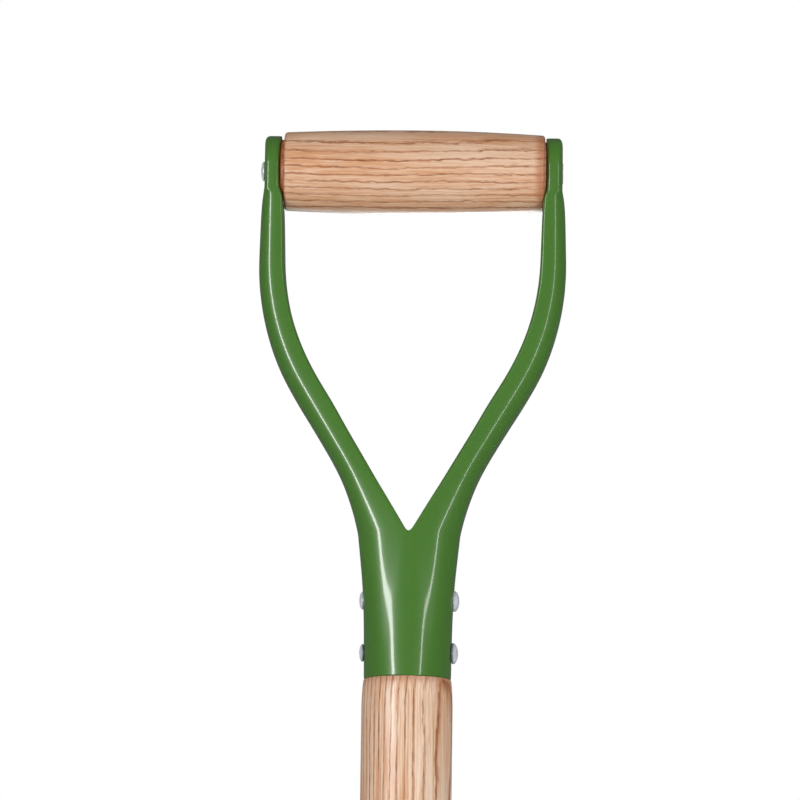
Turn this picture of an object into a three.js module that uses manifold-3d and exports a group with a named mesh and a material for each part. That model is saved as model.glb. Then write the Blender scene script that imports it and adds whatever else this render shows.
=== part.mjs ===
// A garden digging spade: forged steel blade with a closed socket, ash shaft, and a pressed-steel
// Y-shaped handle that holds a turned ash grip. Millimetres, +Z up the shaft, X along the grip,
// and the hollow face of the blade looks towards -Y. The origin is the middle of the cutting edge.
import * as THREE from "three";
import { mergeVertices } from "three/addons/utils/BufferGeometryUtils.js";
import Module from "manifold-3d";

const GAP = 0.3; // left between any two pieces that touch

// Heights along the shaft.
const BLADE_HEIGHT = 290;
const SOCKET_MOUTH = 468;
const GRIP_HEIGHT = 995;

// Blade: a dished plate that leans forward of the shaft by its lift.
const BLADE_TOP_HALF = 95;
const BLADE_EDGE_HALF = 83;
const BLADE_THICKNESS = 2.2;
const EDGE_THICKNESS = 1.2;
const EDGE_BEVEL = 14;
const DISH = 7;
const LIFT = THREE.MathUtils.degToRad(4);
const EDGE_CORNER = 14;
const SHOULDER_CORNER = 9;
const SHAFT_Y = BLADE_HEIGHT * Math.tan(LIFT); // how far the shaft axis stands behind the edge

// Treads: flat steps welded along the shoulders.
const TREAD = { from: 25, to: 92, wide: 13, thick: 3.2 };

// Shaft: turned ash, with a tapered tenon at each end.
const SHAFT_RADIUS = 19.1;
const LOWER_TENON = { tip: 318, tipRadius: 11.5, rootRadius: 18 };
const UPPER_TENON = { tip: -170, tipRadius: 12.9, rootRadius: 16.1 };

// Handle: heights here and below are measured from the grip's axis.
const YOKE_RIM = -215;
const YOKE_CROTCH = -154;
const YOKE_WALL = 1.7;
const ARM_TOP_X = 59.4;
const ARM_FOOT_X = 9.5;
const ARM_SLANT = THREE.MathUtils.degToRad(30.8);
const UPPER_BEND = { height: -67, radius: 105 };
const LOWER_BEND_RADIUS = 100;
const EAR = { thick: 7, radius: 13, centre: 2, foot: -24, footHalf: 10.6, bevel: 1.3 };

// Grip: a turned barrel with a short reduced neck at each end.
const GRIP_HALF = ARM_TOP_X - EAR.thick / 2 - GAP;
const GRIP_MIDDLE_RADIUS = 17.8;
const GRIP_END_RADIUS = 16.1;
const GRIP_NECK = { radius: 13.4, length: 1.4, round: 1.4 };

// Rivets: shank, dome head as made, and the lower head formed at the far end.
const RIVET = { shank: 2.5, head: 4.7, rise: 3, formedHead: 4.2, formedRise: 2.3 };
const GRIP_RIVET = { shank: 3, flare: 4.6, flareDepth: 1.6 };
const YOKE_RIVET_HEIGHTS = { upper: -181.8, lower: -203.8 };
const SOCKET_RIVET_HEIGHTS = { upper: 440, lower: 398 };

const COLOURS = { green: 0x4a7637, ash: 0xd9a97f, zinc: 0xc4c8cc };

const wasm = await Module();
wasm.setup();

// --- joining and cutting ---

function solid(geometry) {
  const bare = geometry.index ? geometry.toNonIndexed() : geometry.clone();
  bare.deleteAttribute("normal");
  bare.deleteAttribute("uv");
  const merged = mergeVertices(bare, 1e-4);
  return new wasm.Manifold(
    new wasm.Mesh({
      numProp: 3,
      vertProperties: merged.attributes.position.array,
      triVerts: new Uint32Array(merged.index.array),
    }),
  );
}

function geometryOf(body) {
  const { vertProperties, triVerts } = body.getMesh();
  const geometry = new THREE.BufferGeometry();
  geometry.setAttribute("position", new THREE.BufferAttribute(vertProperties, 3));
  geometry.setIndex(new THREE.BufferAttribute(triVerts, 1));
  geometry.computeVertexNormals();
  return geometry;
}

function cut(body, ...tools) {
  return tools.reduce((rest, tool) => rest.subtract(tool), body);
}

// --- shapes that several pieces share ---

// A smooth value through [height, value] pairs, listed from the lowest height up.
function through(pairs) {
  return (height) => {
    const above = pairs.findIndex(([h]) => h >= height);
    if (above === 0) return pairs[0][1];
    if (above < 0) return pairs[pairs.length - 1][1];
    const [low, lowValue] = pairs[above - 1];
    const [high, highValue] = pairs[above];
    const slopeAt = (i) => {
      if (i === 0 || i === pairs.length - 1) return (highValue - lowValue) / (high - low);
      return (pairs[i + 1][1] - pairs[i - 1][1]) / (pairs[i + 1][0] - pairs[i - 1][0]);
    };
    const t = (height - low) / (high - low);
    const rise = high - low;
    return (
      lowValue * (1 + 2 * t) * (1 - t) ** 2 +
      highValue * t * t * (3 - 2 * t) +
      slopeAt(above - 1) * rise * t * (1 - t) ** 2 -
      slopeAt(above) * rise * t * t * (1 - t)
    );
  };
}

// A closed body of level slices from one height to another. slice(height) gives each slice's middle
// and its half sizes; where those differ, the slice has straight sides between round ends.
function sliced(bottom, top, slice, sides = 24, steps = 24) {
  const geometry = new THREE.CylinderGeometry(1, 1, 1, sides, steps);
  const place = geometry.attributes.position;
  const side = (v) => (Math.abs(v) < 1e-6 ? 0 : Math.sign(v));
  for (let i = 0; i < place.count; i++) {
    const height = bottom + (top - bottom) * (place.getY(i) + 0.5);
    const { x = 0, y = 0, halfX, halfY } = slice(height);
    const round = Math.min(halfX, halfY);
    const acrossX = place.getX(i);
    const acrossY = -place.getZ(i);
    place.setXYZ(
      i,
      x + round * acrossX + (halfX - round) * side(acrossX),
      y + round * acrossY + (halfY - round) * side(acrossY),
      height,
    );
  }
  return solid(geometry);
}

// A turned body about Z. The profile is a list of [radius, height], from the axis to the axis.
function turned(profile, sides = 32) {
  const points = profile.map(([radius, height]) => new THREE.Vector2(radius, height));
  return new THREE.LatheGeometry(points, sides).rotateX(Math.PI / 2);
}

// A round bar along X, Y or Z, for the holes.
function bar(axis, radius, length, at, sides = 16) {
  const geometry = new THREE.CylinderGeometry(radius, radius, length, sides);
  if (axis === "x") geometry.rotateZ(Math.PI / 2);
  if (axis === "z") geometry.rotateX(Math.PI / 2);
  return solid(geometry.translate(...at));
}

// --- the handle, from the grip's axis down ---

// The middle of the right arm: down the ear, round the upper bend, along the slant, and round the
// lower bend into the socket.
function armX(height) {
  const lean = Math.tan(ARM_SLANT);
  const tangent = (radius) => radius * Math.tan(ARM_SLANT / 2);
  const upperStart = UPPER_BEND.height + tangent(UPPER_BEND.radius);
  const upperEnd = UPPER_BEND.height - tangent(UPPER_BEND.radius) * Math.cos(ARM_SLANT);
  const footCorner = UPPER_BEND.height - (ARM_TOP_X - ARM_FOOT_X) / lean;
  const lowerStart = footCorner + tangent(LOWER_BEND_RADIUS) * Math.cos(ARM_SLANT);
  const lowerEnd = footCorner - tangent(LOWER_BEND_RADIUS);
  const inward = (radius, along) => radius - Math.sqrt(radius ** 2 - along ** 2);
  if (height > upperStart) return ARM_TOP_X;
  if (height > upperEnd) return ARM_TOP_X - inward(UPPER_BEND.radius, upperStart - height);
  if (height > lowerStart) return ARM_TOP_X - lean * (UPPER_BEND.height - height);
  if (height > lowerEnd) return ARM_FOOT_X + inward(LOWER_BEND_RADIUS, height - lowerEnd);
  return ARM_FOOT_X;
}

const armHalfWidth = through([[-178, 8.8], [-154, 10.4], [-144, 9], [-130, 7.3], [-98, 7.3],
  [-64, 6.1], [-30, 5.2], [-18, 4.7], [-9, 3.6]]);
const armHalfDepth = through([[-178, 13], [-154, 12.2], [-125, 11.6], [-60, 11], [-24, 10.8],
  [-9, 10.4]]);
const socketHalfWidth = through([[YOKE_RIM, 18.3], [-192, 18.6], [-174, 19.3], [-160, 20.4],
  [-152, 20.2]]);
const socketHalfDepth = through([[YOKE_RIM, 18.3], [-198, 17.9], [-172, 15.3], [-160, 12.6],
  [-155, 9.4], [-152, 4.5]]);

function arm(sideways, wall, bottom, top) {
  return sliced(bottom, top, (height) => ({
    x: sideways * armX(height),
    halfX: armHalfWidth(height) - wall,
    halfY: armHalfDepth(height) - wall,
  }), 16, 22);
}

function yokeSocket(wall, bottom, top) {
  return sliced(bottom, top, (height) => ({
    halfX: socketHalfWidth(height) - wall,
    halfY: socketHalfDepth(height) - wall,
  }), 24, 9);
}

// The flattened end of an arm: a round-topped tongue that tapers into the arm below.
function ear(sideways) {
  const outline = new THREE.Shape();
  const shoulder = Math.acos((EAR.footHalf - EAR.bevel) / (EAR.radius - EAR.bevel));
  const round = EAR.radius - EAR.bevel;
  outline.moveTo(-EAR.footHalf + EAR.bevel, EAR.foot);
  outline.lineTo(EAR.footHalf - EAR.bevel, EAR.foot);
  outline.absarc(0, EAR.centre, round, -shoulder, Math.PI + shoulder, false);
  const flat = EAR.thick - 2 * EAR.bevel;
  const plate = new THREE.ExtrudeGeometry(outline, {
    depth: flat,
    curveSegments: 14,
    bevelSize: EAR.bevel,
    bevelThickness: EAR.bevel,
    bevelSegments: 2,
  });
  plate.translate(0, 0, -flat / 2).rotateX(Math.PI / 2).rotateZ(Math.PI / 2);
  return solid(plate.translate(sideways * ARM_TOP_X, 0, 0));
}

function countersink() {
  const deep = GRIP_RIVET.flareDepth + GAP;
  const wide = GRIP_RIVET.flare + GAP;
  const cone = new THREE.CylinderGeometry(GRIP_RIVET.shank, wide, deep, 16);
  const faceX = ARM_TOP_X + EAR.thick / 2;
  return solid(cone.rotateZ(Math.PI / 2).translate(faceX + GAP / 2 - deep / 2, 0, 0));
}

function yoke() {
  const outside = yokeSocket(0, YOKE_RIM, YOKE_CROTCH + 2)
    .add(arm(1, 0, YOKE_CROTCH - 24, -9))
    .add(arm(-1, 0, YOKE_CROTCH - 24, -9))
    .add(ear(1))
    .add(ear(-1));
  const inside = yokeSocket(YOKE_WALL, YOKE_RIM - 1, YOKE_CROTCH - 4)
    .add(arm(1, YOKE_WALL, YOKE_CROTCH - 26, -27))
    .add(arm(-1, YOKE_WALL, YOKE_CROTCH - 26, -27));
  const rivetHoles = Object.values(YOKE_RIVET_HEIGHTS).map((height) =>
    bar("x", RIVET.shank + GAP, 60, [0, 0, height]),
  );
  const gripHole = bar("x", GRIP_RIVET.shank + GAP, 140, [0, 0, 0]);
  const gripSeat = bar("x", GRIP_NECK.radius + GAP, 2 * ARM_TOP_X - EAR.thick, [0, 0, 0], 28);
  return geometryOf(cut(outside, inside, gripHole, gripSeat, countersink(), ...rivetHoles));
}

function grip() {
  const shoulder = GRIP_HALF - GRIP_NECK.length;
  const profile = [[0, -GRIP_HALF], [GRIP_NECK.radius, -GRIP_HALF]];
  const barrel = [];
  const steps = 8;
  const run = shoulder - GRIP_NECK.round;
  for (let i = 0; i <= steps; i++) {
    const along = run * (-1 + (2 * i) / steps);
    const swell = 1 - (along / run) ** 2;
    barrel.push([GRIP_END_RADIUS + (GRIP_MIDDLE_RADIUS - GRIP_END_RADIUS) * swell, along]);
  }
  const rounding = (end) => {
    const corner = [];
    for (const turn of [0.2, 0.6]) {
      const angle = turn * (Math.PI / 2);
      corner.push([
        GRIP_END_RADIUS - GRIP_NECK.round * (1 - Math.sin(angle)),
        end * (run + GRIP_NECK.round * Math.cos(angle)),
      ]);
    }
    return corner;
  };
  profile.push([GRIP_NECK.radius, -shoulder], ...rounding(-1), ...barrel);
  profile.push(...rounding(1).reverse(), [GRIP_NECK.radius, shoulder]);
  profile.push([GRIP_NECK.radius, GRIP_HALF], [0, GRIP_HALF]);
  const body = solid(turned(profile, 28).rotateY(Math.PI / 2));
  return geometryOf(cut(body, bar("x", GRIP_RIVET.shank + GAP, 2 * GRIP_HALF + 10, [0, 0, 0])));
}

// A dome head's profile from its base up to the axis.
function dome(radius, rise, base) {
  const points = [];
  const steps = 4;
  for (let i = 0; i <= steps; i++) {
    const angle = (i / steps) * (Math.PI / 2);
    points.push([radius * Math.cos(angle), base + rise * Math.sin(angle)]);
  }
  return points;
}

// A rivet along Z whose grip length runs from -half to +half: made head up, formed head down.
function rivet(half) {
  const { shank, head, rise, formedHead, formedRise } = RIVET;
  const formed = dome(formedHead, formedRise, half).map(([r, h]) => [r, -h]).reverse();
  return turned([...formed, [shank, -half], [shank, half], ...dome(head, rise, half)], 16);
}

// The long rivet through the grip: dome head at one ear, flush in a countersink at the other.
function gripRivet() {
  const face = ARM_TOP_X + EAR.thick / 2;
  const { shank, flare, flareDepth } = GRIP_RIVET;
  const head = dome(RIVET.head, RIVET.rise, face + GAP).map(([r, h]) => [r, -h]).reverse();
  const end = [[shank, face - flareDepth], [flare - GAP, face], [0, face]];
  return turned([...head, [shank, -face - GAP], ...end], 16).rotateY(Math.PI / 2);
}

// --- the shaft, from the blade's socket up ---

function shaft() {
  const rim = GRIP_HEIGHT + YOKE_RIM - GAP;
  const mouth = SOCKET_MOUTH + GAP;
  const profile = [
    [0, LOWER_TENON.tip],
    [LOWER_TENON.tipRadius, LOWER_TENON.tip],
    [LOWER_TENON.rootRadius, mouth],
    [SHAFT_RADIUS - 1, mouth],
    [SHAFT_RADIUS, mouth + 1.5],
    [SHAFT_RADIUS, rim - 12],
    [SHAFT_RADIUS - 0.2, rim - 6],
    [SHAFT_RADIUS - 0.8, rim],
    [UPPER_TENON.rootRadius, rim],
    [UPPER_TENON.tipRadius, GRIP_HEIGHT + UPPER_TENON.tip],
    [0, GRIP_HEIGHT + UPPER_TENON.tip],
  ];
  const holes = Object.values(YOKE_RIVET_HEIGHTS)
    .map((height) => bar("x", RIVET.shank + GAP, 60, [0, 0, GRIP_HEIGHT + height]))
    .concat(Object.values(SOCKET_RIVET_HEIGHTS)
      .map((height) => bar("y", RIVET.shank + GAP, 60, [0, 0, height])));
  return geometryOf(cut(solid(turned(profile, 28)), ...holes));
}

// --- the blade, from the cutting edge up ---

function bladeMiddleY(height) {
  return SHAFT_Y * Math.min(1, height / BLADE_HEIGHT);
}

// The plate starts as a flat box whose points move to the dished, leaning, tapering sheet.
function bladePlate() {
  const box = new THREE.BoxGeometry(2, 1, BLADE_HEIGHT, 16, 1, 8);
  const place = box.translate(0, 0, BLADE_HEIGHT / 2).attributes.position;
  for (let i = 0; i < place.count; i++) {
    const out = place.getX(i);
    const height = place.getZ(i);
    const half = THREE.MathUtils.lerp(BLADE_EDGE_HALF, BLADE_TOP_HALF, height / BLADE_HEIGHT);
    const thick = THREE.MathUtils.mapLinear(Math.min(height, EDGE_BEVEL), 0, EDGE_BEVEL,
      EDGE_THICKNESS, BLADE_THICKNESS);
    place.setXYZ(i, out * half, bladeMiddleY(height) - DISH * out * out + thick * place.getY(i), height);
  }
  return solid(box);
}

// The blade seen from the front: tapering sides, rounded corners and a straight edge.
function bladeOutline() {
  const corner = (shape, from, tip, to) => {
    shape.lineTo(...from);
    shape.quadraticCurveTo(...tip, ...to);
  };
  const shape = new THREE.Shape();
  const slope = (BLADE_TOP_HALF - BLADE_EDGE_HALF) / BLADE_HEIGHT;
  const halfAt = (height) => BLADE_EDGE_HALF + slope * height;
  const high = BLADE_HEIGHT - SHOULDER_CORNER;
  shape.moveTo(-BLADE_EDGE_HALF + EDGE_CORNER, 0);
  corner(shape, [BLADE_EDGE_HALF - EDGE_CORNER, 0], [halfAt(0), 0], [halfAt(EDGE_CORNER), EDGE_CORNER]);
  corner(shape, [halfAt(high), high], [BLADE_TOP_HALF, BLADE_HEIGHT],
    [BLADE_TOP_HALF - SHOULDER_CORNER, BLADE_HEIGHT]);
  corner(shape, [-BLADE_TOP_HALF + SHOULDER_CORNER, BLADE_HEIGHT], [-BLADE_TOP_HALF, BLADE_HEIGHT],
    [-halfAt(high), high]);
  corner(shape, [-halfAt(EDGE_CORNER), EDGE_CORNER], [-halfAt(0), 0], [-BLADE_EDGE_HALF + EDGE_CORNER, 0]);
  const deep = 120;
  const prism = new THREE.ExtrudeGeometry(shape, { depth: deep, bevelEnabled: false, curveSegments: 6 });
  return solid(prism.rotateX(Math.PI / 2).translate(0, deep / 2, 0));
}

// The closed socket, flattening below into a rib that dies away down both faces of the blade.
const ribHalfWidth = through([[150, 3], [215, 11], [290, 19.5], [340, 20], [SOCKET_MOUTH, 21]]);
const ribHalfDepth = through([[150, 0.9], [215, 3], [290, 9.5], [340, 17], [SOCKET_MOUTH, 21]]);

function blade() {
  const socket = sliced(150, SOCKET_MOUTH, (height) => ({
    y: bladeMiddleY(height),
    halfX: ribHalfWidth(height),
    halfY: ribHalfDepth(height),
  }), 24, 14);
  const { tip, tipRadius, rootRadius } = LOWER_TENON;
  const above = SOCKET_MOUTH + 10;
  const widen = (rootRadius - tipRadius) / (SOCKET_MOUTH - tip);
  const bore = solid(turned([
    [0, tip - 2],
    [tipRadius + GAP, tip - 2],
    [tipRadius + GAP + widen * (above - tip), above],
    [0, above],
  ]).translate(0, SHAFT_Y, 0));
  const holes = Object.values(SOCKET_RIVET_HEIGHTS).map((height) =>
    bar("y", RIVET.shank + GAP, 80, [0, SHAFT_Y, height]),
  );
  return geometryOf(cut(bladePlate().intersect(bladeOutline()).add(socket), bore, ...holes));
}

// A step that follows the shoulder of the blade, with rounded ends and edges.
function tread() {
  const round = 4;
  const bevel = 0.8;
  const half = { x: (TREAD.to - TREAD.from) / 2 - bevel, y: TREAD.wide / 2 - bevel };
  const shape = new THREE.Shape();
  shape.moveTo(-half.x + round, -half.y);
  shape.lineTo(half.x - round, -half.y);
  shape.absarc(half.x - round, -half.y + round, round, -Math.PI / 2, 0);
  shape.absarc(half.x - round, half.y - round, round, 0, Math.PI / 2);
  shape.absarc(-half.x + round, half.y - round, round, Math.PI / 2, Math.PI);
  shape.absarc(-half.x + round, -half.y + round, round, Math.PI, 1.5 * Math.PI);
  return new THREE.ExtrudeGeometry(shape, {
    depth: TREAD.thick - 2 * bevel,
    bevelSize: bevel,
    bevelThickness: bevel,
    bevelSegments: 2,
    curveSegments: 6,
  }).translate(0, 0, bevel);
}

// --- assembly ---

const green = new THREE.MeshStandardMaterial({ color: COLOURS.green, roughness: 0.3, metalness: 0 });
const ash = new THREE.MeshStandardMaterial({ color: COLOURS.ash, roughness: 0.5, metalness: 0 });
const zinc = new THREE.MeshStandardMaterial({ color: COLOURS.zinc, roughness: 0.3, metalness: 1 });

function piece(name, geometry, material) {
  const mesh = new THREE.Mesh(geometry, material);
  mesh.name = name;
  return mesh;
}

function handle() {
  const group = new THREE.Group();
  group.add(piece("handle_yoke", yoke(), green));
  group.add(piece("grip", grip(), ash));
  group.add(piece("grip_rivet", gripRivet(), zinc));
  for (const [place, height] of Object.entries(YOKE_RIVET_HEIGHTS)) {
    const pin = piece("yoke_rivet_" + place, rivet(socketHalfWidth(height) + GAP), zinc);
    pin.rotation.y = Math.PI / 2;
    pin.position.z = height;
    group.add(pin);
  }
  group.position.set(0, SHAFT_Y, GRIP_HEIGHT);
  return group;
}

function bladeEnd() {
  const group = new THREE.Group();
  group.add(piece("blade", blade(), green));
  const chord = DISH * ((TREAD.to / BLADE_TOP_HALF) ** 2 - (TREAD.from / BLADE_TOP_HALF) ** 2);
  const middle = (TREAD.from + TREAD.to) / 2;
  for (const [place, sideways] of [["left", -1], ["right", 1]]) {
    const step = piece("tread_" + place, tread(), green);
    const back = SHAFT_Y - DISH * (middle / BLADE_TOP_HALF) ** 2;
    step.position.set(sideways * middle, back, BLADE_HEIGHT + GAP);
    step.rotation.z = -sideways * Math.atan2(chord, TREAD.to - TREAD.from);
    group.add(step);
  }
  for (const [place, height] of Object.entries(SOCKET_RIVET_HEIGHTS)) {
    const pin = piece("socket_rivet_" + place, rivet(ribHalfDepth(height) + GAP), zinc);
    pin.rotation.x = Math.PI / 2;
    pin.position.set(0, SHAFT_Y, height);
    group.add(pin);
  }
  return group;
}

const spade = new THREE.Group();
const pole = piece("shaft", shaft(), ash);
pole.position.y = SHAFT_Y;
spade.add(handle(), pole, bladeEnd());

export default spade;
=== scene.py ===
"""A garden digging spade: forged and painted blade, ash shaft, pressed steel Y handle, ash grip."""
import math

import bmesh
import bpy
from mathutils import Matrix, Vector


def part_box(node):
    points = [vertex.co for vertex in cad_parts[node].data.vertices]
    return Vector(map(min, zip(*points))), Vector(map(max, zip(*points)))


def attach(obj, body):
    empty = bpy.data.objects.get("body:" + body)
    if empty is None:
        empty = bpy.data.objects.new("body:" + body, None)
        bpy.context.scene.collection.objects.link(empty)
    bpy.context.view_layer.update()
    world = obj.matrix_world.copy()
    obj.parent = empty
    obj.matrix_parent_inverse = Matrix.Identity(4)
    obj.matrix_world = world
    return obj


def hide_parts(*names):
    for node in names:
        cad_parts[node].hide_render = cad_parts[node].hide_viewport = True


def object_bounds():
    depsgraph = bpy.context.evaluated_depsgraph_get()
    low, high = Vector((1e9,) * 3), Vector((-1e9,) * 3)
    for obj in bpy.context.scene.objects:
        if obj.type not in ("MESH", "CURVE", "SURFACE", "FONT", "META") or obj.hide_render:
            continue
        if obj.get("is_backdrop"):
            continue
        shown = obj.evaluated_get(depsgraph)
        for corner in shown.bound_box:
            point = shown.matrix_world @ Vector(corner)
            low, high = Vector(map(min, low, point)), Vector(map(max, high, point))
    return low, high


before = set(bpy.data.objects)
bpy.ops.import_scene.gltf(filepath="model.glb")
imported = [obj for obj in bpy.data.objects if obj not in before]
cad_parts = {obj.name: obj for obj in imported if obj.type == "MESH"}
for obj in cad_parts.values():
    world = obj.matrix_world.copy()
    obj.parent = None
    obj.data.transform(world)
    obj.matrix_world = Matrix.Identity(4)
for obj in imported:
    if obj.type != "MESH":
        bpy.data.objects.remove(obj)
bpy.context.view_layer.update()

MM = 0.001


# --- The handle yoke ---------------------------------------------------------------------------
# One steel pressing, 1.7 mm thick: a tube that fits over the shaft, then splits into two rolled
# arms whose tops are flattened into ears. The blank's edges butt together down the back. It is
# dipped in green enamel, and it holds the grip between its ears.

shaft_low, shaft_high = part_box("shaft")
grip_low, grip_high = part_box("grip")
yoke_low, yoke_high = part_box("handle_yoke")
AXIS_Y = (shaft_low.y + shaft_high.y) / 2
GRIP_Z = (grip_low.z + grip_high.z) / 2
GRIP_CENTRE = Vector((0, AXIS_Y, GRIP_Z))
YOKE_RIM = (yoke_low.z - GRIP_Z) / MM
EAR_TOP = (yoke_high.z - GRIP_Z) / MM

# All in millimetres, with heights measured up from the grip's axis and x from the spade's middle.
ARM_TOP_X = 59.2
ARM_SLANT = math.radians(30.8)
UPPER_BEND, UPPER_RADIUS = -67, 105
LOWER_BEND, LOWER_RADIUS = -120, 235
CROTCH = -154
BLEND = 54  # how far below the crotch the two arms take to become one tube
WALL = 1.7
DOME_RADIUS = 14
EAR_CENTRE = 2
EAR_RADIUS = EAR_TOP - EAR_CENTRE
EAR_CORNER = 3.4
EAR_HALF = 3.5
EAR_START, EAR_FORMED = -11.2, -8.8  # between these an arm's section turns into the flat ear's
SEAM_STEP = math.radians(2.6)
SEAM_DEPTH = 0.55
SEAM_TOP = -13
SEAM_FOLD = Vector((0.64, -0.77, 0))  # which way the sheet's edges turn in along an arm
FAIRING = 8  # rounds of fairing where the arms run into the tube
CORNER = math.radians(140)  # where an arm's flat inner side starts, turned from its outer side


def through(*pairs):
    """A smooth value through (height, value) pairs, listed from the lowest height up."""
    def value(height):
        if height <= pairs[0][0]:
            return pairs[0][1]
        if height >= pairs[-1][0]:
            return pairs[-1][1]
        above = next(i for i, pair in enumerate(pairs) if pair[0] >= height)
        (low, low_value), (high, high_value) = pairs[above - 1], pairs[above]
        rise = high - low

        def slope(i):
            """The curve's slope at the pair i, which its two neighbours set."""
            if i in (0, len(pairs) - 1):
                return (high_value - low_value) / rise
            return (pairs[i + 1][1] - pairs[i - 1][1]) / (pairs[i + 1][0] - pairs[i - 1][0])

        t = (height - low) / rise
        ends = low_value * (1 + 2 * t) * (1 - t) ** 2 + high_value * t * t * (3 - 2 * t)
        return ends + rise * t * (1 - t) * (slope(above - 1) * (1 - t) - slope(above) * t)
    return value


def ease(low, high, value):
    """0 at low, 1 at high, and smooth between; low may be the larger."""
    t = min(1, max(0, (value - low) / (high - low)))
    return t * t * (3 - 2 * t)


arm_half_width = through((CROTCH, 10.6), (-144, 8.9), (-130, 7.3), (-112, 7.1), (-97, 7.4), (-64, 6.1),
                         (-30, 5.2), (-18, 4.8), (-12, 4.3), (-8, EAR_HALF))
arm_half_depth = through((CROTCH, 14.4), (-136, 12.9), (-115, 11.6), (-60, 11), (-24, 10.9),
                         (-8, 12.2), (EAR_CENTRE, 13))
tube_power = through((YOKE_RIM, 2), (-190, 2.17), (CROTCH, 2.2))
tube_half_width = through((YOKE_RIM, 18.3), (-196, 18.5), (-186, 18.7), (-174, 19.3), (-165, 20.1),
                          (CROTCH, 21.2))
tube_half_depth = through((YOKE_RIM, 18.3), (-200, 17.6), (-186, 16.7), (-170, 15.6), (CROTCH, 14.4))


def arm_x(height):
    """The middle of an arm: down the ear, round the upper bend, along the slant, and in."""
    reach = UPPER_RADIUS * math.tan(ARM_SLANT / 2)
    if height > UPPER_BEND + reach:
        return ARM_TOP_X
    if height > UPPER_BEND - reach * math.cos(ARM_SLANT):
        drop = UPPER_BEND + reach - height
        return ARM_TOP_X - UPPER_RADIUS + math.sqrt(UPPER_RADIUS**2 - drop**2)
    slant_x = ARM_TOP_X - math.tan(ARM_SLANT) * (UPPER_BEND - max(height, LOWER_BEND))
    if height > LOWER_BEND:
        return slant_x
    lean = math.asin(math.sin(ARM_SLANT) - (LOWER_BEND - height) / LOWER_RADIUS)
    return slant_x - LOWER_RADIUS * (math.cos(lean) - math.cos(ARM_SLANT))


def rounded(angle, power):
    """A point of a unit ring: power 2 gives a circle, and more gives a box with rounded corners."""
    across, deep = math.cos(angle), math.sin(angle)
    return (math.copysign(abs(across) ** (2 / power), across),
            math.copysign(abs(deep) ** (2 / power), deep))


def arm_section(angle, half, depth):
    """A point of an arm's section about its middle; angle 0 is its outer side and -90 its front.

    The outer side is full and round. The front and back are low domes that fall away outwards from
    a crest near the inner side, and the inner side is flat between two tight corners.
    """
    outer_power, inner_power = 3, 8
    across, deep = rounded(angle, outer_power if abs(angle) < math.pi / 2 else inner_power)
    crest = -0.25
    x = half * (across + crest * deep * deep * (1 - abs(across)))
    outward = max(0, x / half - crest)
    return x, deep * (depth - 0.5 * (half * outward) ** 2 / DOME_RADIUS * abs(deep))


def arm_point(angle, height):
    """A point of the right arm's level slice."""
    ear = ease(EAR_START, EAR_FORMED, height)
    half = arm_half_width(height)
    depth = arm_half_depth(height)
    if height > EAR_CENTRE:
        depth = math.sqrt(max(0, EAR_RADIUS**2 - (height - EAR_CENTRE) ** 2))
    x, y = arm_section(angle, half, depth)
    if math.pi / 2 < abs(angle) < CORNER + 1e-6:
        y += (math.copysign(depth, y) - y) * ease(CROTCH + 16, CROTCH, height)
    ear_power = 5
    across, deep = rounded(angle, ear_power)
    x, y = x + (half * across - x) * ear, y + (depth * deep - y) * ear
    over_corner = height - (EAR_TOP - EAR_CORNER)
    if over_corner > 0:
        edge = math.sqrt(max(0, EAR_CORNER**2 - over_corner**2))
        x = min(x, half - EAR_CORNER + edge)
    return Vector((arm_x(height) + x, y, height))


def tube_point(angle, height):
    """A point of the tube's right half below the crotch: the arms' outer sides, eased to an oval."""
    across, deep = rounded(math.pi / 2 * angle / CORNER, tube_power(height))
    width, depth = tube_half_width(height), tube_half_depth(height)
    oval = Vector((width * across, depth * deep))
    arms = arm_point(angle, CROTCH)
    pair = Vector((arms.x * width / tube_half_width(CROTCH), arms.y * depth / tube_half_depth(CROTCH)))
    mixed = oval.lerp(pair, ease(CROTCH - BLEND, CROTCH, height))
    on_centre = abs(angle) > CORNER - 1e-6
    return Vector((0 if on_centre else mixed.x, mixed.y, height))


def bridge(mesh, lower, upper):
    """Faces between two rows of vertices that run from left to right as seen from outside."""
    for a, b, c, d in zip(lower, lower[1:], upper[1:], upper):
        mesh.faces.new((a, b, c, d))


def bridge_rings(mesh, lower, upper):
    """Faces between two closed rings that run anticlockwise as seen from above."""
    bridge(mesh, lower + lower[:1], upper + upper[:1])


def fair_depth(skin, rounds, weight):
    """Fairs a skin from front to back: each point eases to its neighbours, the near ones most."""
    skin = set(skin)
    moved = [v for v in skin if weight(v) > 0]
    for _ in range(rounds):
        depths = []
        for v in moved:
            near = [(edge.other_vert(v), 1 / edge.calc_length()) for edge in v.link_edges]
            near = [(other.co.y, pull) for other, pull in near if other in skin]
            depths.append(sum(y * pull for y, pull in near) / sum(pull for y, pull in near))
        for v, depth in zip(moved, depths):
            v.co.y += (depth - v.co.y) * weight(v)


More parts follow.
